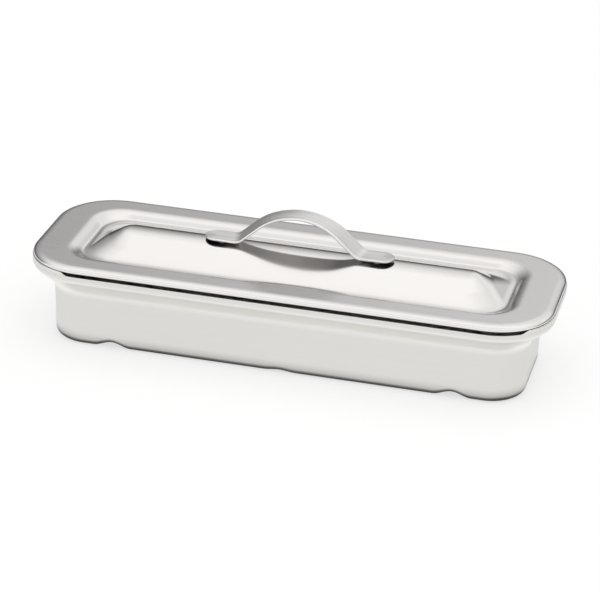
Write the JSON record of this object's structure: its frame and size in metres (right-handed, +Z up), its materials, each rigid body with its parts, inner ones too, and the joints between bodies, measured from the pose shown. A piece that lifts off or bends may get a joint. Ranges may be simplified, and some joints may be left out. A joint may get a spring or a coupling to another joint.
{
  "type": "covered instrument tray",
  "caption": "Long rounded rectangular steel tray with a fitted lift-off cover, a pillow-shaped lid panel and a welded strap handle.",
  "frame": {"origin": "middle of the base, on the plane that the pan stands on", "axes": "+X along the long side, +Y across it, +Z up, the way the cover lifts"},
  "size_m": [0.2164, 0.0768, 0.0581],
  "materials": {
    "pan_steel": "soft satin drawn stainless steel with faint lengthwise streaks",
    "cover_steel": "stainless steel, satin on the flat rim and polished on the panel",
    "strap_steel": "satin strip, grained along its length, with bright edges",
    "weld_steel": "dull grey weld metal"
  },
  "bodies": {
    "pan": {"tray_pan": "pan_steel"},
    "lid": {"cover": "cover_steel", "strap_handle": "strap_steel", "left_weld": "weld_steel", "right_weld": "weld_steel"}
  },
  "joints": [
    {"name": "cover_lift", "type": "slide", "parent": "pan", "child": "lid", "axis": [0, 0, 1], "range_m": [0, 0.08]}
  ]
}
